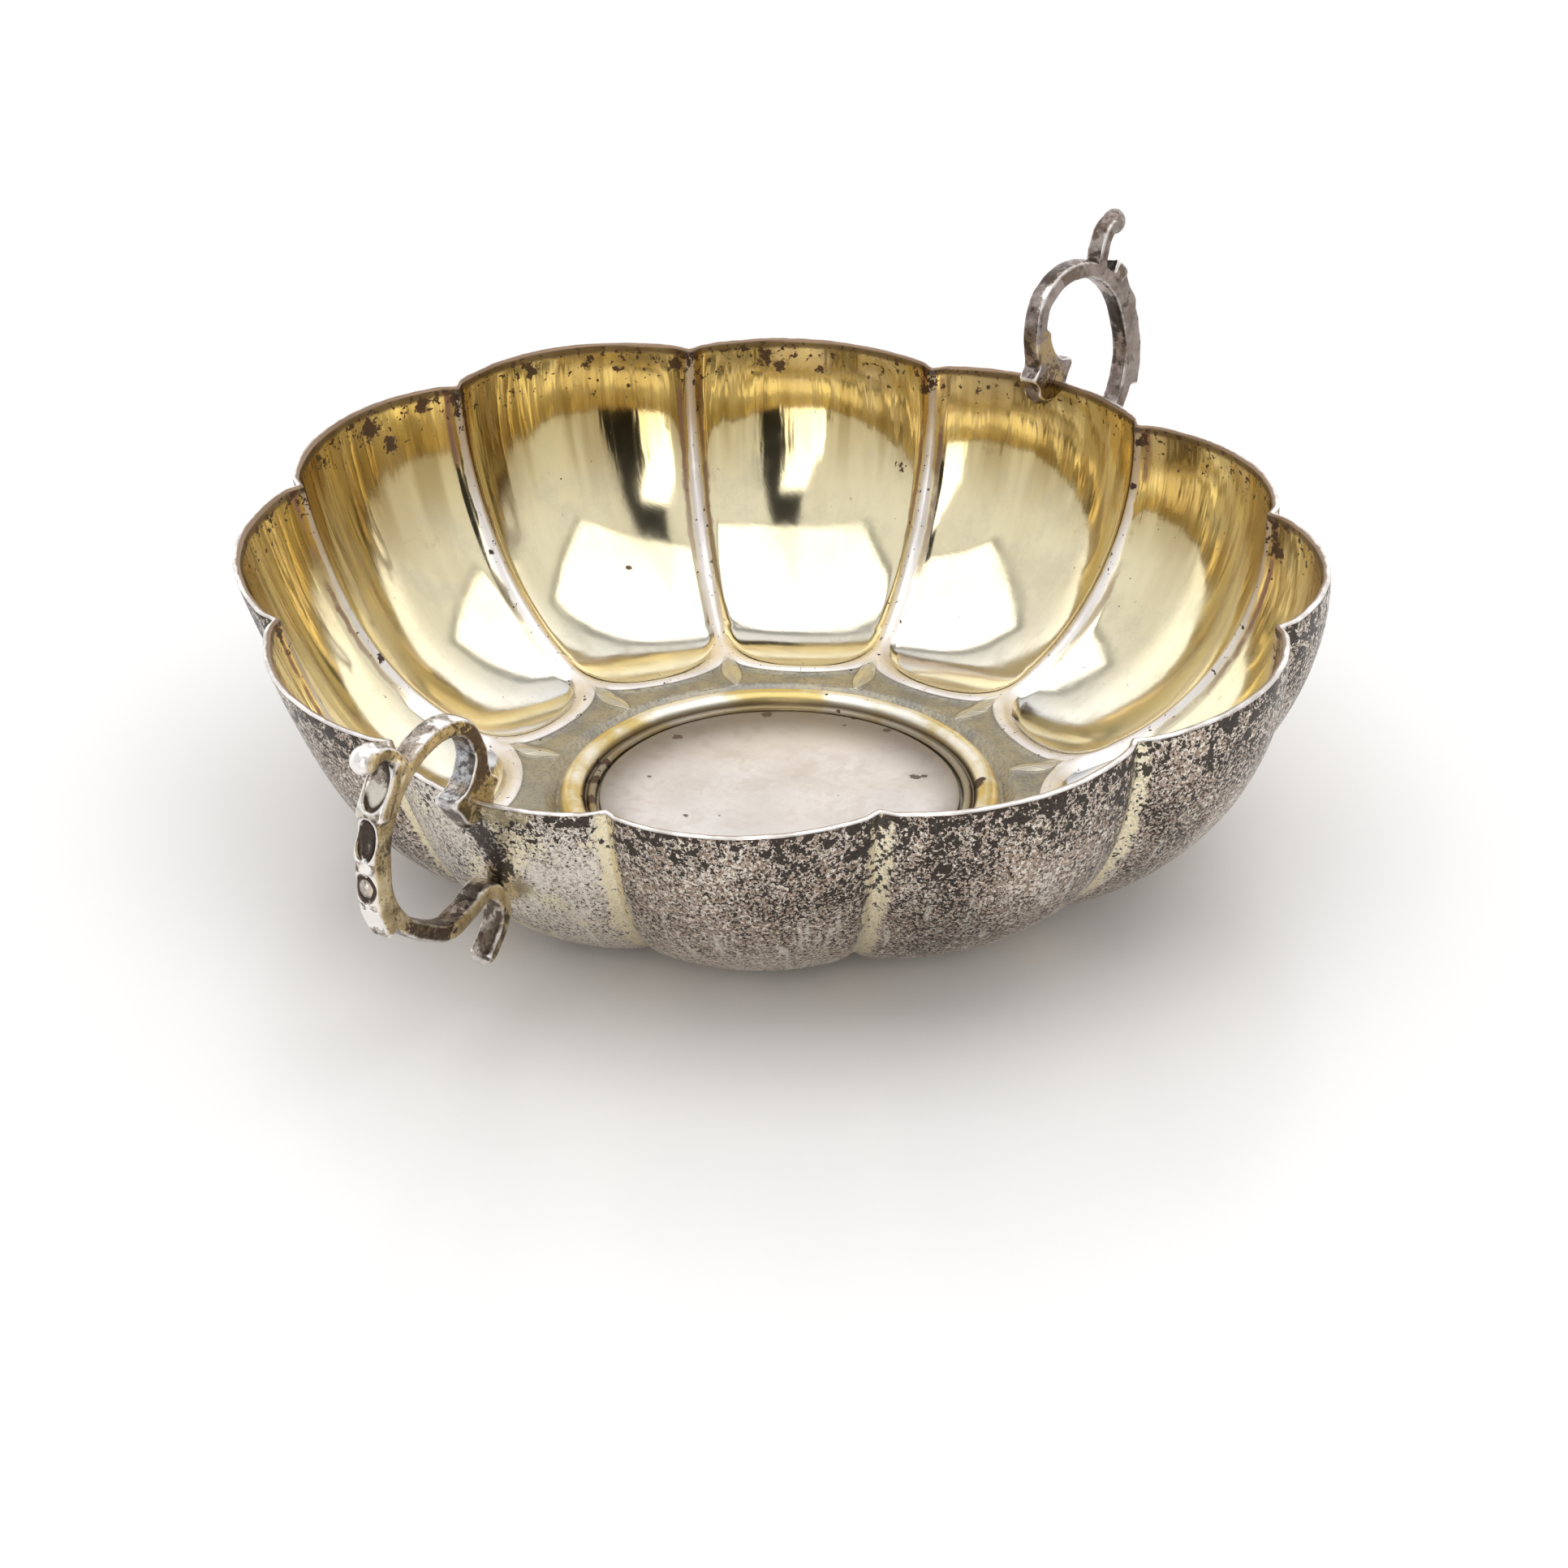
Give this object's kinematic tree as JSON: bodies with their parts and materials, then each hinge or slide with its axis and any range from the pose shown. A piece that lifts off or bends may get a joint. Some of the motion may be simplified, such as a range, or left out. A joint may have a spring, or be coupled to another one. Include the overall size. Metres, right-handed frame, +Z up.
{
  "type": "spirit bowl",
  "caption": "Shallow lobed silver drinking bowl with two cast scroll handles, a chased gilt floor and a plain disc set in a moulded ring.",
  "frame": {"origin": "centre of the flat foot's underside, on the table", "axes": "+X from the lower handle to the upper one, +Y across them, +Z up"},
  "size_m": [0.1526, 0.1234, 0.0466],
  "materials": {
    "bowl": "raised silver: tarnished outside, polished gilding inside, a matted gilt floor",
    "centre_ring": "polished gilt silver moulding",
    "centre_disc": "plain satin silver, faintly worn",
    "handle_left": "cast silver with worn gilding and dark tarnish in the hollows",
    "handle_right": "cast silver with worn gilding and dark tarnish in the hollows"
  },
  "bodies": {
    "root": {"bowl": "bowl", "centre_ring": "centre_ring", "centre_disc": "centre_disc", "handle_left": "handle_left", "handle_right": "handle_right"}
  },
  "joints": []
}
